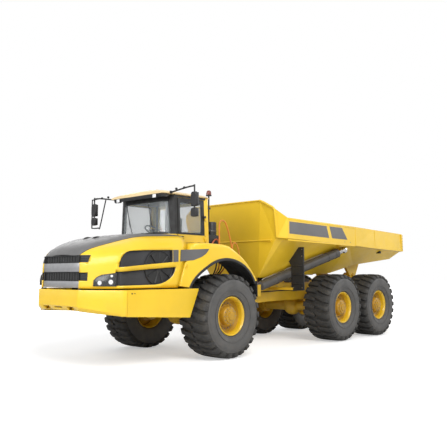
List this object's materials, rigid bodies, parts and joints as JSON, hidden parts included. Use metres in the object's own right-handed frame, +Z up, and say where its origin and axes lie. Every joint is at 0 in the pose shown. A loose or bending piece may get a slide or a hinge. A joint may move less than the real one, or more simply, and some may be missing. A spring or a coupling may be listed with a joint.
{
  "type": "articulated dump truck",
  "caption": "Six-wheel articulated hauler with a pivoting rear unit, a tipping load body on two hoist cylinders, a tilting hood and a driver cab.",
  "frame": {"origin": "on the ground under the middle of the truck", "axes": "+X forward, +Y to the truck's left, +Z up"},
  "size_m": [11.19, 3.426, 3.63],
  "materials": {
    "yellow_paint": "gloss",
    "ochre_paint": "gloss",
    "black_paint": "satin",
    "tyre_rubber": "matte",
    "dark_steel": "satin",
    "chromed_rod": "polished",
    "silver_plastic": "satin",
    "window_glass": "clear",
    "lamp_glass": "clear",
    "beacon_orange": "gloss",
    "roof_cream": "matte",
    "seat_cloth": "woven"
  },
  "bodies": {
    "front_unit": {"front_frame": "black_paint", "front_axle": "yellow_paint", "engine_block": "black_paint", "front_bumper": "yellow_paint", "side_panel_left": "yellow_paint", "side_panel_right": "yellow_paint", "fender_left": "yellow_paint", "fender_right": "yellow_paint", "cab_shell": "yellow_paint", "cab_roof": "roof_cream", "windscreen": "window_glass", "rear_window": "window_glass", "side_glass_right": "window_glass", "driver_seat": "seat_cloth", "dashboard": "black_paint", "steering_wheel": "black_paint", "mirror_left": "black_paint", "mirror_right": "black_paint", "beacon_post": "black_paint", "beacon_lamp": "beacon_orange", "air_cleaner": "black_paint", "exhaust_stack": "dark_steel", "handrail_left": "ochre_paint", "handrail_right": "ochre_paint"},
    "hood": {"hood": "yellow_paint", "grille": "silver_plastic", "headlight_left": "lamp_glass", "headlight_right": "lamp_glass"},
    "cab_door": {"cab_door_left": "yellow_paint", "door_glass": "window_glass"},
    "rear_unit": {"steering_hitch": "black_paint", "rear_frame": "yellow_paint", "bogie_beam_left": "yellow_paint", "bogie_beam_right": "yellow_paint", "middle_axle": "yellow_paint", "rear_axle": "yellow_paint", "mudguard_left": "black_paint", "mudguard_right": "black_paint"},
    "dump_body": {"dump_body": "yellow_paint"},
    "hoist_barrel_left": {"hoist_left_barrel": "dark_steel"},
    "hoist_rod_left": {"hoist_left_rod": "chromed_rod"},
    "steer_barrel_left": {"steer_left_barrel": "dark_steel"},
    "steer_rod_left": {"steer_left_rod": "chromed_rod"},
    "front_wheel_left": {"front_left_tyre": "tyre_rubber", "front_left_rim": "yellow_paint"},
    "middle_wheel_left": {"middle_left_tyre": "tyre_rubber", "middle_left_rim": "yellow_paint"},
    "rear_wheel_left": {"rear_left_tyre": "tyre_rubber", "rear_left_rim": "yellow_paint"},
    "hoist_barrel_right": {"hoist_right_barrel": "dark_steel"},
    "hoist_rod_right": {"hoist_right_rod": "chromed_rod"},
    "steer_barrel_right": {"steer_right_barrel": "dark_steel"},
    "steer_rod_right": {"steer_right_rod": "chromed_rod"},
    "front_wheel_right": {"front_right_tyre": "tyre_rubber", "front_right_rim": "yellow_paint"},
    "middle_wheel_right": {"middle_right_tyre": "tyre_rubber", "middle_right_rim": "yellow_paint"},
    "rear_wheel_right": {"rear_right_tyre": "tyre_rubber", "rear_right_rim": "yellow_paint"}
  },
  "joints": [
    {"name": "steering", "type": "hinge", "parent": "front_unit", "child": "rear_unit", "pos_m": [1.218, 0, 1.22], "axis": [0, 0, 1], "range_deg": [-45, 45]},
    {"name": "bed_tip", "type": "hinge", "parent": "rear_unit", "child": "dump_body", "pos_m": [-4.205, 0, 1.72], "axis": [0, -1, 0], "range_deg": [0, 70]},
    {"name": "hood_tilt", "type": "hinge", "parent": "front_unit", "child": "hood", "pos_m": [5.565, 0, 1.49], "axis": [0, 1, 0], "range_deg": [0, 75]},
    {"name": "cab_door_swing", "type": "hinge", "parent": "front_unit", "child": "cab_door", "pos_m": [2.555, 0.92579, 2.42], "axis": [0, 0, 1], "range_deg": [0, 80]},
    {"name": "front_wheel_spin_left", "type": "hinge", "parent": "front_unit", "child": "front_wheel_left", "pos_m": [2.495, 1.318, 0.88], "axis": [0, 1, 0], "continuous": true},
    {"name": "middle_wheel_spin_left", "type": "hinge", "parent": "rear_unit", "child": "middle_wheel_left", "pos_m": [-1.905, 1.318, 0.88], "axis": [0, 1, 0], "continuous": true},
    {"name": "rear_wheel_spin_left", "type": "hinge", "parent": "rear_unit", "child": "rear_wheel_left", "pos_m": [-3.845, 1.318, 0.88], "axis": [0, 1, 0], "continuous": true},
    {"name": "hoist_swing_left", "type": "hinge", "parent": "rear_unit", "child": "hoist_barrel_left", "pos_m": [0.695, 0.8, 1.42], "axis": [0.3664, 0.7815, 0.505], "range_deg": [0, 9.37]},
    {"name": "hoist_stroke_left", "type": "slide", "parent": "hoist_barrel_left", "child": "hoist_rod_left", "axis": [-0.9213, 0.2287, 0.3145], "range_m": [0, 2.3318]},
    {"name": "steer_swing_left", "type": "hinge", "parent": "front_unit", "child": "steer_barrel_left", "pos_m": [2.165, 0.41, 1.56], "axis": [0, 0, 1], "range_deg": [-10.62, 10.62]},
    {"name": "steer_stroke_left", "type": "slide", "parent": "steer_barrel_left", "child": "steer_rod_left", "axis": [-0.9993, -0.0385, 0], "range_m": [-0.2808, 0.2808]},
    {"name": "front_wheel_spin_right", "type": "hinge", "parent": "front_unit", "child": "front_wheel_right", "pos_m": [2.495, -1.318, 0.88], "axis": [0, 1, 0], "continuous": true},
    {"name": "middle_wheel_spin_right", "type": "hinge", "parent": "rear_unit", "child": "middle_wheel_right", "pos_m": [-1.905, -1.318, 0.88], "axis": [0, 1, 0], "continuous": true},
    {"name": "rear_wheel_spin_right", "type": "hinge", "parent": "rear_unit", "child": "rear_wheel_right", "pos_m": [-3.845, -1.318, 0.88], "axis": [0, 1, 0], "continuous": true},
    {"name": "hoist_swing_right", "type": "hinge", "parent": "rear_unit", "child": "hoist_barrel_right", "pos_m": [0.695, -0.8, 1.42], "axis": [-0.3664, 0.7815, -0.505], "range_deg": [0, 9.37]},
    {"name": "hoist_stroke_right", "type": "slide", "parent": "hoist_barrel_right", "child": "hoist_rod_right", "axis": [-0.9213, -0.2287, 0.3145], "range_m": [0, 2.3318]},
    {"name": "steer_swing_right", "type": "hinge", "parent": "front_unit", "child": "steer_barrel_right", "pos_m": [2.165, -0.41, 1.56], "axis": [0, 0, 1], "range_deg": [-10.62, 10.62]},
    {"name": "steer_stroke_right", "type": "slide", "parent": "steer_barrel_right", "child": "steer_rod_right", "axis": [-0.9993, 0.0385, 0], "range_m": [-0.2808, 0.2808]}
  ],
  "couplings": [
    {"joint": "hoist_swing_left", "follows": "bed_tip", "ratio": 0.13353},
    {"joint": "hoist_stroke_left", "follows": "bed_tip", "m_per_rad": 1.9078},
    {"joint": "steer_swing_left", "follows": "steering", "ratio": 0.23481},
    {"joint": "steer_stroke_left", "follows": "steering", "m_per_rad": 0.35625},
    {"joint": "hoist_swing_right", "follows": "bed_tip", "ratio": 0.13353},
    {"joint": "hoist_stroke_right", "follows": "bed_tip", "m_per_rad": 1.9078},
    {"joint": "steer_swing_right", "follows": "steering", "ratio": 0.23481},
    {"joint": "steer_stroke_right", "follows": "steering", "m_per_rad": -0.35625}
  ]
}
